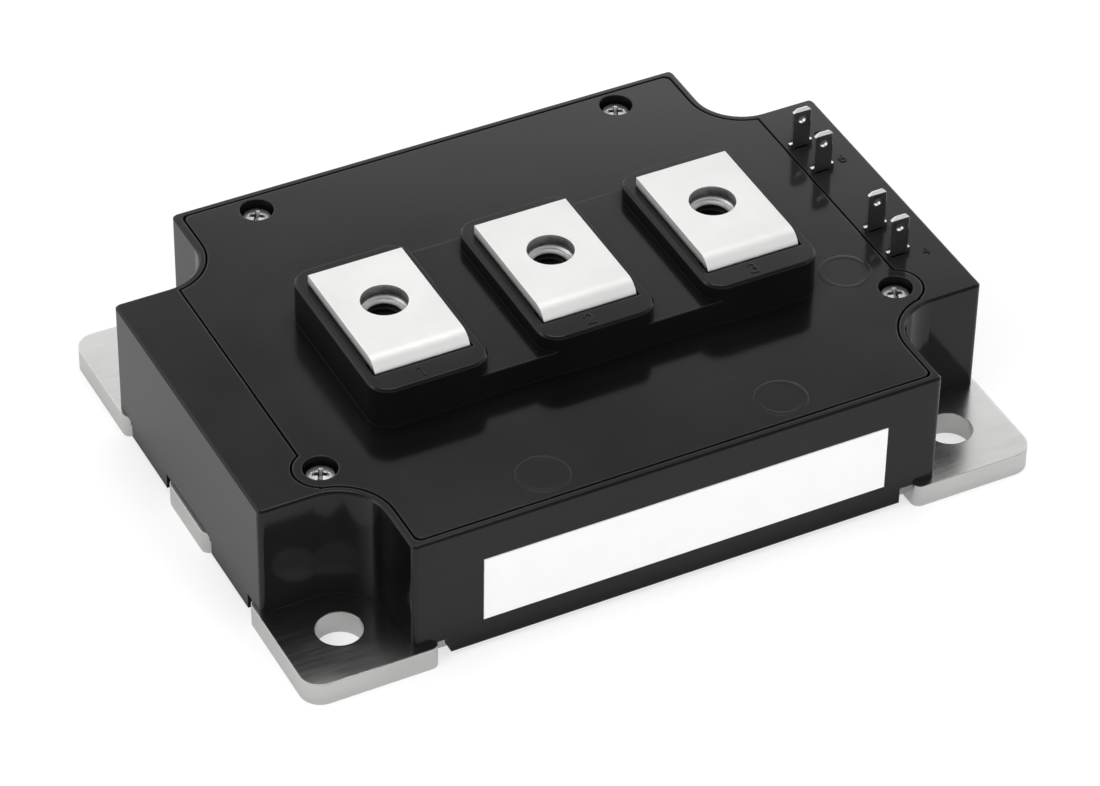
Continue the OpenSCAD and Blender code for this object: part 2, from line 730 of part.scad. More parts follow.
// Wires from the tabs' feet to the right tile, and from its through tracks to the left tile
module signal_wires() {
    left = tile_xs[0];
    right = tile_xs[1];
    near_end = right + track_x - 2 * wire_foot_r;
    far_end = right - track_x + 2 * wire_foot_r;
    foot_y = tab_foot_l - wire_foot_r - play;
    foot = [for (k = [0:3]) [tab_x, tab_ys[k] + tab_feet[k] * foot_y, bench_z + tab_t]];
    color(aluminium) {
        bond_wire([right + gate_x, area_y0 + 2 * wire_foot_r, chip_z], foot[0]);
        bond_wire([right + sense_x, area_y0 + 8 * wire_foot_r, chip_z], foot[1]);
        bond_wire([near_end, through_ys[0], chip_z], foot[2]);
        bond_wire([near_end, through_ys[1], chip_z], foot[3]);
        bond_wire([left + gate_x, area_y1 - wire_foot_r, chip_z], [far_end, through_ys[0], chip_z]);
        bond_wire([left + sense_x, area_y1 - wire_foot_r, chip_z], [far_end, through_ys[1], chip_z]);
    }
}

// ---- Label ----

module label() {
    color(paper) translate([label_x - label_l / 2, -case_w / 2 - label_t, label_z])
        cube([label_l, label_t, label_h]);
}

base_plate();
case_frame();
lid();
lid_screw(screws[0]);  // lid_screw_1
lid_screw(screws[1]);  // lid_screw_2
lid_screw(screws[2]);  // lid_screw_3
lid_screw(screws[3]);  // lid_screw_4
terminal_nut(bus_xs[0]);  // terminal_nut_1
terminal_nut(bus_xs[1]);  // terminal_nut_2
terminal_nut(bus_xs[2]);  // terminal_nut_3
main_terminal(0);  // main_terminal_1
main_terminal(1);  // main_terminal_2
main_terminal(2);  // main_terminal_3
signal_tab(0);  // signal_tab_1
signal_tab(1);  // signal_tab_2
signal_tab(2);  // signal_tab_3
signal_tab(3);  // signal_tab_4
bottom_copper(0);  // bottom_copper_left
bottom_copper(1);  // bottom_copper_right
ceramic_tile(0);  // ceramic_left
ceramic_tile(1);  // ceramic_right
tracks(0);  // tracks_left
tracks(1);  // tracks_right
chip(0, igbt_y, igbt_a);  // igbt_chip_1
chip(1, igbt_y, igbt_a);  // igbt_chip_2
chip(2, igbt_y, igbt_a);  // igbt_chip_3
chip(3, igbt_y, igbt_a);  // igbt_chip_4
chip(0, diode_y, diode_a);  // diode_chip_1
chip(1, diode_y, diode_a);  // diode_chip_2
chip(2, diode_y, diode_a);  // diode_chip_3
chip(3, diode_y, diode_a);  // diode_chip_4
bond_wires(0);  // bond_wires_left
bond_wires(1);  // bond_wires_right
signal_wires();
label();
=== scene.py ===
"""Looks of the half-bridge power module: finishes, threaded nuts, lid screws, moulded marks and the stage."""

import math

import bmesh
import bpy
import numpy as np
from bpy.props import FloatProperty, FloatVectorProperty, IntProperty, PointerProperty
from mathutils import Matrix, Vector


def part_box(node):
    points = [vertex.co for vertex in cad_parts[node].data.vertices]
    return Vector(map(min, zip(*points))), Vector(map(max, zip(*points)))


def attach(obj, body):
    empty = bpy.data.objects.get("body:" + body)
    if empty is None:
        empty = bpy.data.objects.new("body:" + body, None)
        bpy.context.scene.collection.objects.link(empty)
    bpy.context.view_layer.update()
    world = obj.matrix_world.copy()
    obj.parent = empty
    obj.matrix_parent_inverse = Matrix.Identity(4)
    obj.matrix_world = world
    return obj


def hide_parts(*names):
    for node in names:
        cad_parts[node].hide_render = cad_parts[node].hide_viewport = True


bl_info = {
    "name": "Power module dressing",
    "version": (1, 0, 0),
    "blender": (4, 5, 0),
    "location": "3D View > Sidebar > Module",
    "description": "Dresses the half-bridge power module with finishes, fasteners and moulded marks",
    "category": "Object",
}

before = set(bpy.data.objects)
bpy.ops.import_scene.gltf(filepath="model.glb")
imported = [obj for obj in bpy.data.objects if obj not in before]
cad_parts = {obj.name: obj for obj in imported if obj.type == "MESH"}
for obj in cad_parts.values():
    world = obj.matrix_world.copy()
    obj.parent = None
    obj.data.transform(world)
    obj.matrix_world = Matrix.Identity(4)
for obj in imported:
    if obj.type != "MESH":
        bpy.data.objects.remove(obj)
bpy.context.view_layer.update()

MM = 0.001

TERMINALS = ["main_terminal_1", "main_terminal_2", "main_terminal_3"]
TABS = ["signal_tab_1", "signal_tab_2", "signal_tab_3", "signal_tab_4"]
NUTS = ["terminal_nut_1", "terminal_nut_2", "terminal_nut_3"]
LID_SCREWS = ["lid_screw_1", "lid_screw_2", "lid_screw_3", "lid_screw_4"]

# Turn of each lid screw's cross recess, in degrees.
SCREW_TURNS = (-27, -20, -32, -24)
# Middles of the ejector pins' marks on the lid, in millimetres.
PIN_MARKS = ((-17.8, -33.1), (17.8, -33.1), (38.9, -13.3))
# Depth of the rolling lines in metal.
LINE_DEPTH = 0.0015 * MM
# Gap between the mounting face and the floor.
FLOOR_GAP = 0.05 * MM
# Place, width, height and power in watts of each lamp, and whether reflections show it.
LAMPS = {
    "key_light": ((-0.75, -0.25, 0.72), 0.6, 0.6, 3.5, False),
    "fill_light": ((0.6, -0.5, 0.5), 0.7, 0.7, 1, False),
    "top_light": ((0.15, 0.3, 1.05), 0.4, 0.4, 2, True),
    "strip_light": ((0.341, 0.652, 0.817), 0.5, 0.12, 0.08, True),
    "front_light": ((0.1, -0.88, 0.22), 0.5, 0.4, 3.2, False),
}


def colour(name, text, default):
    """A colour property."""
    return FloatVectorProperty(
        name=name, description=text, subtype="COLOR", size=3, min=0, max=1, default=default)


def share(name, text, default):
    """A property between 0 and 1."""
    return FloatProperty(name=name, description=text, subtype="FACTOR", min=0, max=1, default=default)


def length(name, text, default_mm):
    """A length property, given in millimetres."""
    return FloatProperty(name=name, description=text, unit="LENGTH", min=0, default=default_mm * MM)


def angle(name, text, degrees):
    """An angle property, given in degrees."""
    return FloatProperty(
        name=name, description=text, subtype="ANGLE", unit="ROTATION", default=math.radians(degrees))


class PlasticSettings(bpy.types.PropertyGroup):
    """Finish of the moulded case and lid."""

    black: colour("Black", "Colour of the moulded plastic", (0.004, 0.004, 0.0042))
    worn: colour("Edge colour", "Colour of the plastic along its rubbed edges", (0.012, 0.012, 0.0125))
    gloss: share("Roughness", "Roughness of the moulded faces", 0.1)
    edge: length("Edge radius", "Radius that the edges show", 0.22)
    grain: length("Grain size", "Size of the moulding grain", 0.35)
    grain_depth: length("Grain depth", "Depth of the moulding grain", 0.002)


class MetalSettings(bpy.types.PropertyGroup):
    """Finishes of the bare and plated metal."""

    plate: colour("Base plate", "Colour of the plated base plate", (0.76, 0.76, 0.745))
    plate_rough: share("Base plate roughness", "Roughness of the plated base plate", 0.19)
    terminal: colour("Terminals", "Colour of the plated terminals", (0.84, 0.84, 0.83))
    terminal_rough: share("Terminal roughness", "Roughness of the plated terminals", 0.46)
    tab_rough: share("Tab roughness", "Roughness of the plated signal tabs", 0.13)
    steel: colour("Screws", "Colour of the plated lid screws", (0.66, 0.66, 0.65))
    nuts: colour("Nuts", "Colour of the plated nuts", (0.95, 0.95, 0.94))
    steel_rough: share("Steel roughness", "Roughness of the plated screws and nuts", 0.36)
    copper: colour("Copper", "Colour of the bonded copper", (0.78, 0.42, 0.28))
    edge: length("Edge radius", "Radius that sheared and milled edges show", 0.12)


class NutSettings(bpy.types.PropertyGroup):
    """Sizes of the nuts under the terminals."""

    pitch: length("Thread pitch", "Pitch of the nut's thread", 1.0)
    major: length("Thread diameter", "Diameter at the thread's roots", 6.0)
    minor: length("Bore diameter", "Diameter at the thread's crests", 5.0)
    sink: length("Countersink", "Diameter of the countersink at each face", 6.4)
    steps: IntProperty(name="Steps", description="Steps round the nut", min=24, default=144)


class ScrewSettings(bpy.types.PropertyGroup):
    """Sizes of the lid screws."""

    shank: length("Thread diameter", "Outer diameter of the thread", 2.6)
    pitch: length("Thread pitch", "Pitch of the thread", 1.0)
    crown: length("Crown", "Rise of the head's crown over its rim", 0.22)
    head_height: length("Head height", "Height of the head", 1.2)
    round: length("Rim radius", "Radius round the head's rim", 0.25)
    recess: length("Recess width", "Width of the cross recess's arms", 0.62)
    reach: length("Recess reach", "Length of the cross recess's arms from the middle", 1.25)
    depth: length("Recess depth", "Depth of the cross recess in its middle", 0.75)
    steps: IntProperty(name="Steps", description="Steps round a screw", min=24, default=96)


class MarkSettings(bpy.types.PropertyGroup):
    """Sizes of the moulded numbers and the ejector marks."""

    height: length("Number height", "Height of the moulded numbers", 1.9)
    bead: length("Bead radius", "Radius of the bead that draws the numbers", 0.16)
    pin: length("Pin mark", "Diameter of an ejector pin's mark", 6.6)
    pin_rise: length("Pin mark rise", "Rise of the ring round an ejector pin's mark", 0.008)
    pin_ring: length("Pin ring", "Half the width of the ring round an ejector pin's mark", 0.5)
    pin_root: length("Pin mark root", "Depth to which an ejector pin's mark goes under the face", 0.6)
    block_front: length("Number line", "Distance of the block numbers in front of the middle line", 13.95)
    block_left: length("Block number shift", "Distance of a block's number left of its middle", 1.2)
    tab_right: length("Tab number gap", "Distance of a tab's number from the tab", 2.1)


class StageSettings(bpy.types.PropertyGroup):
    """Camera, floor and lights."""

    lens: FloatProperty(
        name="Lens", description="Focal length on a 36 mm wide sensor", unit="CAMERA", default=156.468)
    azimuth: angle("Azimuth", "Direction that the camera looks from", -27.5688)
    elevation: angle("Elevation", "Height of the camera over the horizon", 39.8229)
    roll: angle("Roll", "Turn of the camera about its view", 1.0435)
    target: FloatVectorProperty(
        name="Target", description="Point that the camera looks at", subtype="TRANSLATION",
        unit="LENGTH", size=3, default=(-4.398 * MM, -9.004 * MM, 12 * MM))
    distance: length("Distance", "Distance of the camera from the target", 652.857)
    floor: colour("Floor", "Colour of the floor", (0.45, 0.45, 0.45))
    floor_radius: length("Floor radius", "Radius of the floor", 2400)
    floor_glow: share("Floor glow", "Light that the floor adds up to white", 0.64)
    floor_mirror: share("Floor in reflections", "Share of that light which reflections show", 0.41)
    sky: share("Sky", "Light of the surroundings on dull surfaces", 0.55)
    room: FloatProperty(name="Room", description="Light of the whole room in reflections", min=0, default=1.8)
    wall: share("Wall", "Share of that light on the wall round the table, at its upper edge", 1.0)
    ceiling: share("Ceiling", "Share of that light on the ceiling over the table", 0.26)
    wall_top: angle("Wall top", "Elevation at which the wall ends and the ceiling begins", 36.4)
    behind: share("Room behind", "Share of the room's light on the side that the camera stands", 0.3)


# ---- Surfaces ----


def surface(name, points, wrap_rows=False, wrap_cols=False, smooth=math.radians(32)):
    """A mesh object of the grid points[i, j]: one quad between each four neighbours.

    A row or column that lies in one point becomes a pole. Normals are worked out after the poles are merged.
    """
    rows, cols = points.shape[:2]
    i = np.arange(rows if wrap_rows else rows - 1)[:, None]
    j = np.arange(cols if wrap_cols else cols - 1)[None, :]
    next_i = (i + 1) % rows
    next_j = (j + 1) % cols
    corners = (i * cols + j, next_i * cols + j, next_i * cols + next_j, i * cols + next_j)
    quads = np.stack(np.broadcast_arrays(*corners), axis=-1).reshape(-1, 4)
    mesh = bpy.data.meshes.new(name)
    mesh.from_pydata(points.reshape(-1, 3), [], quads)
    return finished(name, mesh, smooth)


def finished(name, mesh, smooth=math.radians(32)):
    """The object of a mesh: its doubles merged, its faces pointing outwards and its bends smooth."""
    work = bmesh.new()
    work.from_mesh(mesh)
    bmesh.ops.remove_doubles(work, verts=work.verts, dist=1e-7)
    bmesh.ops.recalc_face_normals(work, faces=work.faces)
    work.to_mesh(mesh)
    work.free()
    mesh.shade_smooth()
    mesh.set_sharp_from_angle(angle=smooth)
    mesh.validate()
    piece = bpy.data.objects.new(name, mesh)
    bpy.context.scene.collection.objects.link(piece)
    return piece


def joined(name, parts):
    """One mesh object of several, which are removed."""
    points, faces, start = [], [], 0
    for part in parts:
        mesh = part.data
        points += [v.co.copy() for v in mesh.vertices]
        faces += [[start + v for v in polygon.vertices] for polygon in mesh.polygons]
        start += len(mesh.vertices)
        bpy.data.objects.remove(part)
    mesh = bpy.data.meshes.new(name)
    mesh.from_pydata(points, [], faces)
    return finished(name, mesh)


def around(radius, height, turns):
    """Points (r cos t, r sin t, z) for angles t down the rows and a profile (r, z) along the columns."""
    radius, height = np.broadcast_arrays(radius, height)
    return np.stack([radius * np.cos(turns), radius * np.sin(turns), height], axis=-1)


def thread(z, turns, pitch, crest, root):
    """Radius of a thread: root at the middle of the groove, crest between, straight flanks.

    The phase (z / pitch - t / 2 pi) runs from 0 to 1 over one groove. The root's flat is an eighth of it
    and the crest's flat a quarter.
    """
    phase = np.abs(2 * np.mod(z / pitch - turns / (2 * math.pi), 1) - 1)
    return root + (crest - root) * np.clip((phase - 0.125) / 0.625, 0, 1)


def middle(node):
    """Middle of a node's box, and its size."""
    low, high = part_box(node)
    return (low + high) / 2, high - low


# ---- Materials ----


class Wiring:
    """The node tree of a material or a world, built with short calls."""

    def __init__(self, holder, out="OutputMaterial"):
        self.holder = holder
        holder.use_nodes = True
        self.tree = holder.node_tree
        self.tree.nodes.clear()
        self.out = self.add(out)
        self.place = self.add("TexCoord").outputs["Object"]

    def add(self, kind, settings=None, **inputs):
        """A new node; settings are its properties, inputs its sockets, linked or set."""
        node = self.tree.nodes.new("ShaderNode" + kind)
        for key, value in (settings or {}).items():
            setattr(node, key, value)
        for key, value in inputs.items():
            self.feed(node.inputs[key.replace("_", " ")], value)
        return node

    def feed(self, socket, value):
        """Links a socket to an output, or sets its value."""
        if isinstance(value, bpy.types.NodeSocket):
            self.tree.links.new(value, socket)
        elif socket.type == "RGBA" and len(value) == 3:
            socket.default_value = (*value, 1)
        else:
            socket.default_value = value

    def noise(self, size, detail=2.0, stretch=(1, 1, 1), roughness=0.5):
        """Noise whose features are about size across, drawn out along an axis by stretch."""
        scaled = self.add("Mapping", Vector=self.place, Scale=[1 / s for s in stretch])
        settings = {"Scale": 1 / size, "Detail": detail, "Roughness": roughness}
        return self.add("TexNoise", Vector=scaled.outputs[0], **settings).outputs["Fac"]

    def ramp(self, value, low, high, start, end):
        """Value carried from low..high to start..end."""
        node = self.add("MapRange", {"clamp": True}, Value=value)
        for key, number in (("From Min", low), ("From Max", high), ("To Min", start), ("To Max", end)):
            node.inputs[key].default_value = number
        return node.outputs[0]

    def blend(self, share, first, second):
        """Colours blended by share."""
        node = self.add("Mix", {"data_type": "RGBA"})
        self.feed(node.inputs[0], share)
        self.feed(node.inputs[6], first)
        self.feed(node.inputs[7], second)
        return node.outputs[2]

    def stops(self, value, *pairs):
        """Value carried along straight lines between pairs of position and level, both 0 to 1."""
        node = self.add("ValToRGB", None, Fac=value)
        steps = node.color_ramp.elements
        while len(steps) < len(pairs):
            steps.new(0.5)
        for step, (position, level) in zip(steps, pairs):
            step.position = position
            step.color = (level, level, level, 1)
        return node.outputs[0]

    def maths(self, operation, *values):
        """A sum, product or other operation on numbers."""
        node = self.add("Math", {"operation": operation})
        for socket, value in zip(node.inputs, values):
            self.feed(socket, value)
        return node.outputs[0]

    def rounded(self, radius, samples=6):
        """Normals of edges rounded to radius, and how near an outer edge a point lies, 0 to 1."""
        bevel = self.add("Bevel", {"samples": samples}, Radius=radius).outputs[0]
        settings = {"samples": samples, "inside": True, "only_local": True}
        depth = self.add("AmbientOcclusion", settings, Distance=1.6 * radius).outputs["AO"]
        return bevel, self.ramp(depth, 0.6, 0.95, 1, 0)

    def open_share(self, reach, samples=8):
        """How open a point lies within reach: 1 on a bare face, less in a corner, hole or recess."""
        return self.add("AmbientOcclusion", {"samples": samples}, Distance=reach).outputs["AO"]

    def height(self):
        """Height above the mounting face."""
        return self.add("SeparateXYZ", Vector=self.place).outputs["Z"]

    def direct(self, mirrored):
        """1 for rays from the camera, mirrored for reflections and glass, 0 for light on dull surfaces."""
        path = self.add("LightPath").outputs
        glass = self.maths("MAXIMUM", path["Is Glossy Ray"], path["Is Transmission Ray"])
        return self.maths("MAXIMUM", path["Is Camera Ray"], self.maths("MULTIPLY", glass, mirrored))

    def bump(self, height, distance, normal):
        """Normals of a height field whose full range is distance, laid over other normals."""
        return self.add("Bump", Strength=1, Distance=distance, Height=height, Normal=normal).outputs[0]

    def finish(self, **inputs):
        """Closes the tree with a principled shader and returns the material."""
        shader = self.add("BsdfPrincipled", None, **inputs)
        self.feed(self.out.inputs["Surface"], shader.outputs[0])
        return self.holder


def plastic_finish():
    """Black moulded plastic: a fine grain, slow changes of gloss, and edges rubbed a little lighter.

    Corners and recesses are rougher and reflect less: the lowered reflection there is painted shade.
    """
    s = bpy.context.scene.plastic
    w = Wiring(bpy.data.materials.new("moulded_plastic"))
    round_normal, near_edge = w.rounded(s.edge)
    cloud = w.noise(22 * MM, 3)
    scuff = w.noise(1.6 * MM, 4, (9, 1, 1), 0.6)
    grain = w.noise(s.grain, 2)
    rubbed = w.maths("MULTIPLY", near_edge, w.ramp(w.noise(2.5 * MM, 3), 0.35, 0.7, 0.35, 1))
    body = w.blend(w.ramp(cloud, 0.3, 0.7, 0, 1), s.black, [c * 1.5 for c in s.black])
    gloss = w.ramp(cloud, 0.3, 0.7, s.gloss - 0.02, s.gloss + 0.03)
    # How open each point is: corners and recesses get more roughness and a lower specular level, and the
    # lower specular level is painted shade.
    bare = w.open_share(8 * MM)
    rough = w.maths("ADD", gloss, w.ramp(scuff, 0.66, 0.8, 0, 0.12))
    rough = w.maths("ADD", rough, w.ramp(bare, 0.45, 0.95, 0.2, 0))
    return w.finish(
        Base_Color=w.blend(rubbed, body, s.worn),
        Roughness=w.maths("ADD", rough, w.maths("MULTIPLY", near_edge, 0.12)),
        IOR=1.42,
        Specular_IOR_Level=w.ramp(bare, 0.5, 0.9, 0.15, 0.5),
        Normal=w.bump(grain, s.grain_depth, round_normal),
    )


def metal_finish(name, tone, rough, edge, grain=0.5 * MM, stretch=(14, 1, 1), cloud_size=9 * MM,
                 lit=None, left=0.1, metallic=1.0):
    """Plated metal: rolling lines drawn out along one axis, clouds of gloss, and sheared edges brightened as
    a painted highlight.

    lit(wiring) gives 1 in the open and 0 where the base colour is darkened as painted shade. left is the
    share of the tone that is left there.
    """
    w = Wiring(bpy.data.materials.new(name))
    round_normal, near_edge = w.rounded(edge, 4)
    lines = w.noise(grain, 3, stretch, 0.6)
    cloud = w.noise(cloud_size, 3)
    dull = [c * 0.93 for c in tone]
    shade = w.blend(w.ramp(cloud, 0.3, 0.7, 0, 1), tone, dull)
    gloss = w.ramp(cloud, 0.3, 0.7, rough - 0.03, rough + 0.05)
    # Painted highlight: the base colour is brightened along the edges.
    shade = w.blend(near_edge, shade, [min(1, c * 1.06) for c in tone])
    # Painted shade: the base colour is darkened where lit(wiring) falls to 0.
    if lit:
        shade = w.blend(lit(w), [c * left for c in tone], shade)
    return w.finish(
        Base_Color=shade,
        Metallic=metallic,
        Roughness=w.maths("ADD", gloss, w.ramp(lines, 0.3, 0.7, -0.02, 0.03)),
        Normal=w.bump(lines, LINE_DEPTH, round_normal),
    )


def matt_finish(name, tone, rough, size, depth, edge):
    """A matt solid with a fine tooth, such as fired ceramic or paper."""
    w = Wiring(bpy.data.materials.new(name))
    round_normal, near_edge = w.rounded(edge, 4)
    tooth = w.noise(size, 4)
    shade = w.blend(w.ramp(w.noise(12 * size, 3), 0.3, 0.7, 0, 1), tone, [c * 0.97 for c in tone])
    return w.finish(
        Base_Color=w.blend(near_edge, shade, [c * 0.9 for c in tone]),
        Roughness=w.ramp(tooth, 0.2, 0.8, rough - 0.06, rough + 0.06),
        Normal=w.bump(tooth, depth, round_normal),
    )


def coat(material, *names):
    """Gives CAD nodes a material."""
    for name in names:
        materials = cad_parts[name].data.materials
        materials.clear()
        materials.append(material)


# ---- Operators ----


class MODULE_OT_case(bpy.types.Operator):
    """Finish the case and the lid as black moulded plastic"""

    bl_idname = "module.case"
    bl_label = "Case and lid"

    def execute(self, context):
        coat(plastic_finish(), "case_frame", "lid")
        return {"FINISHED"}


class MODULE_OT_metal(bpy.types.Operator):
    """Finish the base plate, the terminals and the signal tabs as plated metal"""

    bl_idname = "module.metal"
    bl_label = "Plated metal"

    def execute(self, context):
        s = context.scene.metal
        plate = metal_finish("plated_base", s.plate, s.plate_rough, 2 * s.edge, cloud_size=16 * MM)
        # Painted shade: the terminals' base colour falls to 0.05 of its tone where other parts close them in,
        # such as their sides by the block and their holes.
        terminal = metal_finish(
            "plated_terminal", s.terminal, s.terminal_rough, s.edge, 0.4 * MM, (1, 12, 1),
            lit=lambda w: w.ramp(w.open_share(7 * MM), 0.5, 0.75, 0, 1), left=0.05, metallic=0.4)
        tab = metal_finish(
            "plated_tab", s.terminal, s.tab_rough, 0.06 * MM, 0.2 * MM, (1, 1, 10), cloud_size=3 * MM)
        coat(plate, "base_plate")
        coat(terminal, *TERMINALS)
        coat(tab, *TABS)
        return {"FINISHED"}


class MODULE_OT_inside(bpy.types.Operator):
    """Finish the substrates, the chips and the bond wires under the lid"""

    bl_idname = "module.inside"
    bl_label = "Inside"

    def execute(self, context):
        s = context.scene.metal
        ends = ("left", "right")
        copper = metal_finish("bonded_copper", s.copper, 0.35, 0.05 * MM)
        coat(copper, *(f"{kind}_{end}" for kind in ("bottom_copper", "tracks") for end in ends))
        ceramic = matt_finish("fired_ceramic", (0.84, 0.83, 0.8), 0.6, 0.15 * MM, 0.003 * MM, 0.05 * MM)
        coat(ceramic, *(f"ceramic_{end}" for end in ends))
        silicon = metal_finish("metallised_silicon", (0.42, 0.44, 0.5), 0.2, 0.03 * MM, 0.3 * MM, (1, 1, 1))
        coat(silicon, *(f"{kind}_chip_{k}" for kind in ("igbt", "diode") for k in range(1, 5)))
        wire = metal_finish("aluminium_wire", (0.82, 0.83, 0.84), 0.3, 0.03 * MM, 0.2 * MM, (6, 1, 1))
        coat(wire, "bond_wires_left", "bond_wires_right", "signal_wires")
        return {"FINISHED"}


class MODULE_OT_label(bpy.types.Operator):
    """Finish the blank label as white coated paper"""

    bl_idname = "module.label"
    bl_label = "Label"

    def execute(self, context):
        paper = matt_finish("label_paper", (0.99, 0.99, 0.985), 0.42, 0.25 * MM, 0.004 * MM, 0.08 * MM)
        coat(paper, "label")
        return {"FINISHED"}


def nut_points(across, height, s):
    """Grid of a hexagonal nut: one closed profile per angle t.

    The bore's radius is the larger of the thread's radius and the 45 degree countersinks. Outside, the
    hexagon's radius is a / cos(d), where a is half the width across the flats and d the angle from the
    nearest flat's middle, and 30 degree cones turn the corners down at both faces.
    """
    turns = np.linspace(0, 2 * math.pi, s.steps, endpoint=False)[:, None]
    z = np.linspace(0, height, int(14 * height / s.pitch) + 1)[None, :]
    cone = s.sink / 2 - np.minimum(z, height - z)
    bore = np.maximum(thread(z, turns, s.pitch, s.minor / 2, s.major / 2), cone)
    flat = across / 2
    off = np.mod(turns + math.pi / 6, math.pi / 3) - math.pi / 6
    hexagon = flat / np.cos(off)
    turned = 0.97 * flat
    out = turned + (hexagon - turned) * np.linspace(0, 1, 5)[None, :]
    down = (out - turned) * math.tan(math.radians(30))
    mouth = np.full_like(turns, s.sink / 2)
    radius = np.concatenate([bore, mouth, out, out[:, ::-1], mouth], axis=1)
    top = np.full_like(turns, height)
    bottom = np.zeros_like(turns)
    level = np.concatenate([z + 0 * turns, top, height - down, down[:, ::-1], bottom], axis=1)
    return around(radius, level, turns)


class MODULE_OT_nuts(bpy.types.Operator):
    """Add the threaded nuts that lie under the main terminals"""

    bl_idname = "module.nuts"
    bl_label = "Terminal nuts"

    def execute(self, context):
        s = context.scene.metal
        top = max(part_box(node)[1][2] for node in NUTS)
        # Painted shade: the nuts' base colour falls to 0.04 of its tone from 0.5 mm to 0.9 mm below their
        # top, down the bore.
        steel = metal_finish(
            "plated_nut", s.nuts, s.steel_rough, 0.08 * MM, 0.4 * MM, (1, 1, 6),
            lit=lambda w: w.ramp(w.height(), top - 0.9 * MM, top - 0.5 * MM, 0, 1), left=0.04, metallic=0.75)
        for k, node in enumerate(NUTS):
            centre, size = middle(node)
            points = nut_points(size.x, size.z, context.scene.nut)
            points += np.array([centre.x, centre.y, centre.z - size.z / 2])
            piece = surface(f"threaded_nut_{k + 1}", points, wrap_rows=True, wrap_cols=True)
            piece.data.materials.append(steel)
            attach(piece, "root")
            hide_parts(node)
        return {"FINISHED"}


def screw_points(head, total, s):
    """Grid of a lid screw: for each angle t, a profile from the crown's middle out, down and in to the tip.

    The crown falls as the square of the radius. The cross recess lowers it inside its two arms, by a
    depth that shrinks evenly towards their ends, with short sloped walls. The rim is a quarter round.
    The shank's radius is a thread under a plain neck.
    """
    turns = np.linspace(0, 2 * math.pi, s.steps, endpoint=False)[:, None]
    rim = head / 2 - s.round
    rho = np.linspace(0, rim, 36)[None, :]
    x = np.abs(rho * np.cos(turns))
    y = np.abs(rho * np.sin(turns))
    wall = 0.08 * MM
    arm = np.clip((s.recess / 2 - np.minimum(x, y)) / wall, 0, 1)
    depth = s.depth * np.clip(1.25 * (1 - np.maximum(x, y) / s.reach), 0, 1)
    crown = s.head_height - s.crown * (rho / rim) ** 2 - arm * depth
    bend = np.linspace(0, math.pi / 2, 7)[1:][None, :]
    rim_z = s.head_height - s.crown - s.round
    low = s.head_height - total
    shank_z = np.linspace(0, low + s.shank / 4, 90)[None, :]
    core = s.shank / 2 - 0.28 * MM
    threaded = thread(shank_z, turns, s.pitch, s.shank / 2, core)
    shank = np.where(shank_z > -1 * MM, core, threaded)
    ones = np.ones_like(turns)
    radius = np.concatenate([
        rho * ones, (rim + s.round * np.sin(bend)) * ones, head / 2 * ones, core * ones,
        shank, 0.4 * core * ones, 0 * ones], axis=1)
    level = np.concatenate([
        crown, (rim_z + s.round * np.cos(bend)) * ones, 0 * ones, 0 * ones,
        shank_z * ones, low * ones, low * ones], axis=1)
    return around(radius, level, turns)


class MODULE_OT_screws(bpy.types.Operator):
    """Add the screws that hold the lid, with a cross recess and a thread"""

    bl_idname = "module.screws"
    bl_label = "Lid screws"

    def execute(self, context):
        s = context.scene.metal
        sizes = context.scene.screw
        # Painted shade: the screws' base colour falls to 0.1 of its tone in the cross recess and other tight
        # corners.
        steel = metal_finish(
            "plated_screw", s.steel, s.steel_rough, 0.05 * MM, 0.25 * MM, (1, 1, 1),
            lit=lambda w: w.ramp(w.open_share(0.8 * MM), 0.45, 0.9, 0, 1))
        for k, (node, degrees) in enumerate(zip(LID_SCREWS, SCREW_TURNS)):
            centre, size = middle(node)
            turn = np.array(Matrix.Rotation(math.radians(degrees), 3, "Z"))
            points = screw_points(size.x, size.z, sizes) @ turn.T
            points += np.array([centre.x, centre.y, centre.z + size.z / 2 - sizes.head_height])
            piece = surface(f"cross_screw_{k + 1}", points, wrap_rows=True, smooth=math.radians(40))
            piece.data.materials.append(steel)
            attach(piece, "root")
            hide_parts(node)
        return {"FINISHED"}


def arc(x, y, rx, ry, start, end, steps=14):
    """Points of an elliptical arc about (x, y), between two angles in degrees."""
    t = np.radians(np.linspace(start, end, steps))
    return np.stack([x + rx * np.cos(t), y + ry * np.sin(t)], axis=-1)


def strokes(figure):
    """Centre lines of a figure in a box 0.6 wide and 1 high, whose middle is the origin."""
    bar = np.array
    return {
        1: [bar([[-0.14, 0.3], [0.04, 0.5], [0.04, -0.5]])],
        2: [np.concatenate([arc(0, 0.22, 0.28, 0.28, 160, -35), bar([[-0.29, -0.5], [0.3, -0.5]])])],
        3: [np.concatenate([arc(-0.02, 0.25, 0.26, 0.25, 150, -80), arc(-0.02, -0.24, 0.3, 0.26, 80, -150)])],
        4: [bar([[0.12, -0.5], [0.12, 0.5], [-0.3, -0.18], [0.3, -0.18]])],
        5: [np.concatenate([
            bar([[0.24, 0.5], [-0.2, 0.5], [-0.24, 0.06]]), arc(-0.02, -0.18, 0.29, 0.32, 125, -145)])],
        6: [np.concatenate([arc(0.18, -0.14, 0.46, 0.64, 95, 180), arc(0, -0.2, 0.28, 0.3, 180, 540, 24)])],
        7: [bar([[-0.29, 0.5], [0.29, 0.5], [-0.08, -0.5]])],
    }[figure]


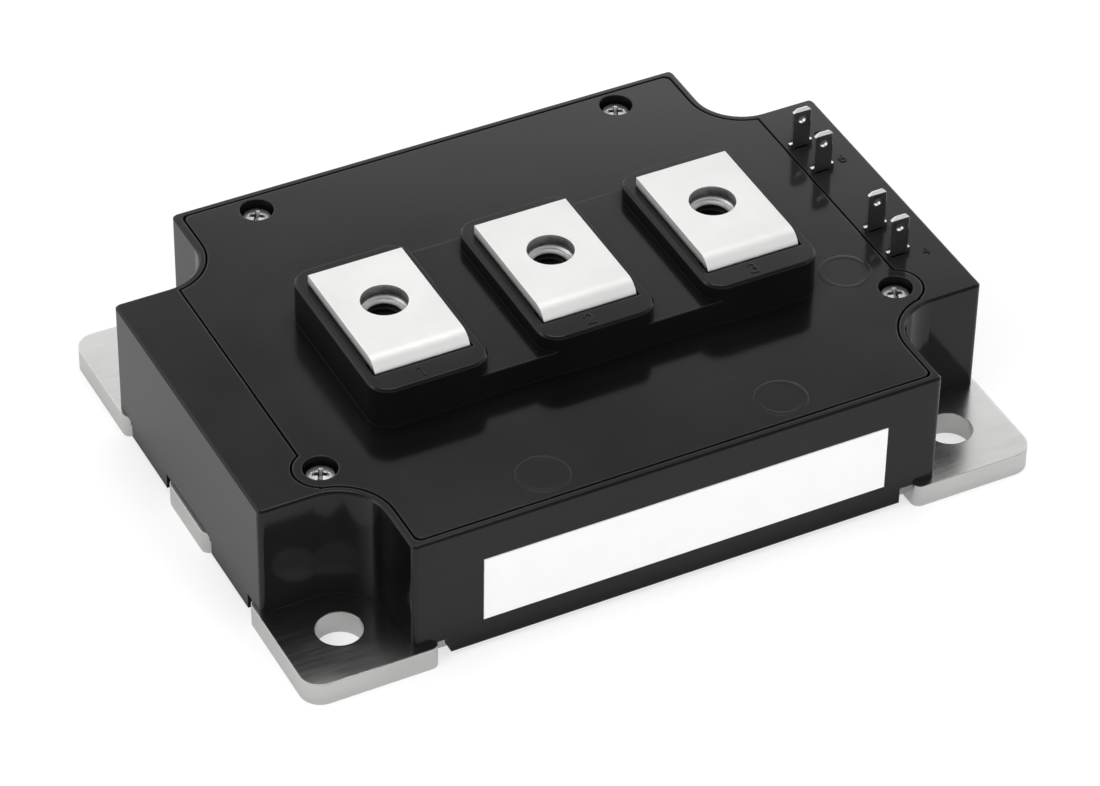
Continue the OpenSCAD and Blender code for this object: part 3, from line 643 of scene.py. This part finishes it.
def bead(line, radius, sides=10, caps=4):
    """A round bead along a flat line: circles of one radius across it, closed by half balls.

    The tangent at a point is the mean of the steps that meet there, and the circles lie in the plane of
    the upright and the normal to the tangent. At each end they shrink as cos(a) and move out by sin(a).
    """
    steps = np.diff(line, axis=0)
    steps /= np.linalg.norm(steps, axis=1)[:, None]
    tangent = np.concatenate([steps[:1], steps[:-1] + steps[1:], steps[-1:]])
    tangent /= np.linalg.norm(tangent, axis=1)[:, None]
    a = np.linspace(math.pi / 2, 0, caps + 1)[:-1, None]
    before = line[:1] - radius * np.sin(a) * tangent[:1]
    after = line[-1:] + radius * np.sin(a[::-1]) * tangent[-1:]
    spine = np.concatenate([before, line, after])
    tangent = np.concatenate([np.repeat(tangent[:1], caps, 0), tangent, np.repeat(tangent[-1:], caps, 0)])
    size = radius * np.concatenate([np.cos(a)[:, 0], np.ones(len(line)), np.cos(a[::-1])[:, 0]])[:, None]
    t = np.linspace(0, 2 * math.pi, sides, endpoint=False)[None, :]
    x = spine[:, :1] - tangent[:, 1:] * size * np.cos(t)
    y = spine[:, 1:] + tangent[:, :1] * size * np.cos(t)
    return np.stack([x, y, size * np.sin(t)], axis=-1)


def moulded_number(name, figure, spot, height, radius):
    """A raised number on a level face at spot, read from the front."""
    parts = [
        surface(f"{name}_{k}", bead(line * height, radius) + np.array(spot), wrap_cols=True)
        for k, line in enumerate(strokes(figure))
    ]
    return joined(name, parts)


def pin_points(s):
    """Grid of an ejector pin's mark: a flat disc with a low ring round it, closed under the face.

    The ring's height is cos(a) squared, from a = -90 degrees inside to 90 degrees outside, and the disc
    lies at a tenth of it.
    """
    turns = np.linspace(0, 2 * math.pi, 48, endpoint=False)[:, None]
    across = np.linspace(-1, 1, 17)
    rim = s.pin / 2 + s.pin_ring * across
    radius = np.concatenate([np.linspace(0, 0.95 * rim[0], 5), rim, [rim[-1], 0]])[None, :]
    ring = s.pin_rise * np.maximum(np.cos(across * math.pi / 2) ** 2, 0.1 * (across < 0))
    level = np.concatenate([np.full(5, 0.1 * s.pin_rise), ring, [-s.pin_root, -s.pin_root]])[None, :]
    return around(radius * np.ones_like(turns), level * np.ones_like(turns), turns)


class MODULE_OT_marks(bpy.types.Operator):
    """Add the raised numbers by the terminals and tabs, and the ejector pins' marks"""

    bl_idname = "module.marks"
    bl_label = "Moulded marks"

    def execute(self, context):
        s = context.scene.marks
        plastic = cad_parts["lid"].data.materials[0]
        block_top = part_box("lid")[1].z
        deck_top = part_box("case_frame")[1].z
        pieces = []
        for k, node in enumerate(TERMINALS, 1):
            spot = (middle(node)[0].x - s.block_left, -s.block_front, block_top)
            pieces.append(moulded_number(f"moulded_{k}", k, spot, s.height, s.bead))
        for k, node in enumerate(TABS, 1 + len(TERMINALS)):
            spot = (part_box(node)[1].x + s.tab_right, middle(node)[0].y, deck_top)
            pieces.append(moulded_number(f"moulded_{k}", k, spot, 0.75 * s.height, s.bead))
        for k, (x, y) in enumerate(PIN_MARKS, 1):
            points = pin_points(s) + np.array([x * MM, y * MM, deck_top])
            pieces.append(surface(f"pin_mark_{k}", points, wrap_rows=True))
        for piece in pieces:
            piece.data.materials.append(plastic)
            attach(piece, "root")
        return {"FINISHED"}


def floor_finish(s):
    """Pale matt floor that keeps the shadow. It glows up to white for the camera, less in reflections."""
    w = Wiring(bpy.data.materials.new("pale_floor"))
    dull = w.add("BsdfDiffuse", Color=s.floor)
    strength = w.maths("MULTIPLY", w.direct(s.floor_mirror), s.floor_glow)
    glow = w.add("Emission", Color=(1, 1, 1), Strength=strength)
    total = w.add("AddShader")
    w.feed(total.inputs[0], dull.outputs[0])
    w.feed(total.inputs[1], glow.outputs[0])
    w.feed(w.out.inputs["Surface"], total.outputs[0])
    return w.holder


def surroundings(s):
    """White to the camera, an even sky to dull surfaces, and a lit wall under a grey ceiling in reflections.

    The height z of a direction is the sine of its elevation. The wall fades into the ceiling over a few
    degrees, and the ceiling is lit again right over the table. The room is darker on the front side.
    """
    w = Wiring(bpy.data.worlds.new("surroundings"), "OutputWorld")
    direction = w.add("SeparateXYZ", Vector=w.add("TexCoord").outputs["Generated"]).outputs
    height = direction["Z"]
    edge = math.sin(s.wall_top)
    room = w.stops(height, (0, 0.5 * s.wall), (edge - 0.15, 0.55 * s.wall), (edge - 0.08, s.wall),
                   (edge - 0.004, s.wall), (edge + 0.012, 0.5 * s.wall), (edge + 0.042, s.ceiling),
                   (0.85, s.ceiling), (0.97, 0.5 * s.wall))
    room = w.maths("MULTIPLY", room, s.room)
    room = w.maths("MULTIPLY", room, w.ramp(direction["Y"], -0.35, 0.15, s.behind, 1))
    path = w.add("LightPath").outputs
    mirrored = w.maths("MAXIMUM", path["Is Glossy Ray"], path["Is Transmission Ray"])
    light = w.add("Mix", {"data_type": "FLOAT"})
    for socket, value in zip(light.inputs, (mirrored, None, s.sky, room)):
        if value is not None:
            w.feed(socket, value)
    seen = w.maths("MAXIMUM", light.outputs[0], path["Is Camera Ray"])
    glow = w.add("Background", Color=(1, 1, 1), Strength=seen)
    w.feed(w.out.inputs["Surface"], glow.outputs[0])
    return w.holder


def softbox(name, spot, width, height, watts, mirrored):
    """A flat lamp at spot that faces the module, and whether reflections show it."""
    lamp = bpy.data.lights.new(name, "AREA")
    lamp.shape = "RECTANGLE"
    lamp.size = width
    lamp.size_y = height
    lamp.energy = watts
    box = bpy.data.objects.new(name, lamp)
    box.matrix_world = Matrix.Translation(spot) @ Vector(spot).to_track_quat("Z", "Y").to_matrix().to_4x4()
    box.visible_glossy = mirrored
    bpy.context.scene.collection.objects.link(box)


class MODULE_OT_stage(bpy.types.Operator):
    """Set the floor, the lights, the surroundings and the camera"""

    bl_idname = "module.stage"
    bl_label = "Stage"

    def execute(self, context):
        scene = context.scene
        s = scene.stage
        camera = bpy.data.objects.new("camera", bpy.data.cameras.new("camera"))
        camera.data.sensor_width = 36
        camera.data.lens = s.lens
        camera.data.clip_end = 20
        turn = Matrix.Rotation(s.azimuth, 4, "Z") @ Matrix.Rotation(math.pi / 2 - s.elevation, 4, "X")
        spot = Matrix.Translation(s.target) @ turn @ Matrix.Translation((0, 0, s.distance))
        camera.matrix_world = spot @ Matrix.Rotation(s.roll, 4, "Z")
        scene.collection.objects.link(camera)
        scene.camera = camera

        turns = np.linspace(0, 2 * math.pi, 96, endpoint=False)[:, None]
        radius = s.floor_radius * np.linspace(0, 1, 5)[None, :] ** 2
        level = np.full_like(radius, -FLOOR_GAP)
        floor = surface("floor", around(radius * np.ones_like(turns), level, turns), wrap_rows=True)
        floor.data.materials.append(floor_finish(s))

        scene.world = surroundings(s)
        for name, lamp in LAMPS.items():
            softbox(name, *lamp)
        scene.view_settings.view_transform = "Standard"
        return {"FINISHED"}


STEPS = ["stage", "case", "metal", "inside", "label", "nuts", "screws", "marks"]
GROUPS = {
    "plastic": PlasticSettings,
    "metal": MetalSettings,
    "nut": NutSettings,
    "screw": ScrewSettings,
    "marks": MarkSettings,
    "stage": StageSettings,
}


class MODULE_PT_panel(bpy.types.Panel):
    """The module's steps and sizes"""

    bl_idname = "MODULE_PT_panel"
    bl_label = "Power module"
    bl_space_type = "VIEW_3D"
    bl_region_type = "UI"
    bl_category = "Module"

    def draw(self, context):
        for step in STEPS:
            self.layout.operator(f"module.{step}")
        for name, group in GROUPS.items():
            box = self.layout.box()
            box.label(text=name.capitalize())
            for key in group.__annotations__:
                box.prop(getattr(context.scene, name), key)


CLASSES = [
    *GROUPS.values(), MODULE_OT_stage, MODULE_OT_case, MODULE_OT_metal, MODULE_OT_inside, MODULE_OT_label,
    MODULE_OT_nuts, MODULE_OT_screws, MODULE_OT_marks, MODULE_PT_panel,
]


def register():
    for kind in CLASSES:
        bpy.utils.register_class(kind)
    for name, group in GROUPS.items():
        setattr(bpy.types.Scene, name, PointerProperty(type=group))


def unregister():
    for name in GROUPS:
        delattr(bpy.types.Scene, name)
    for kind in reversed(CLASSES):
        bpy.utils.unregister_class(kind)


def main():
    register()
    for step in STEPS:
        getattr(bpy.ops.module, step)()


if __name__ == "__main__":
    main()
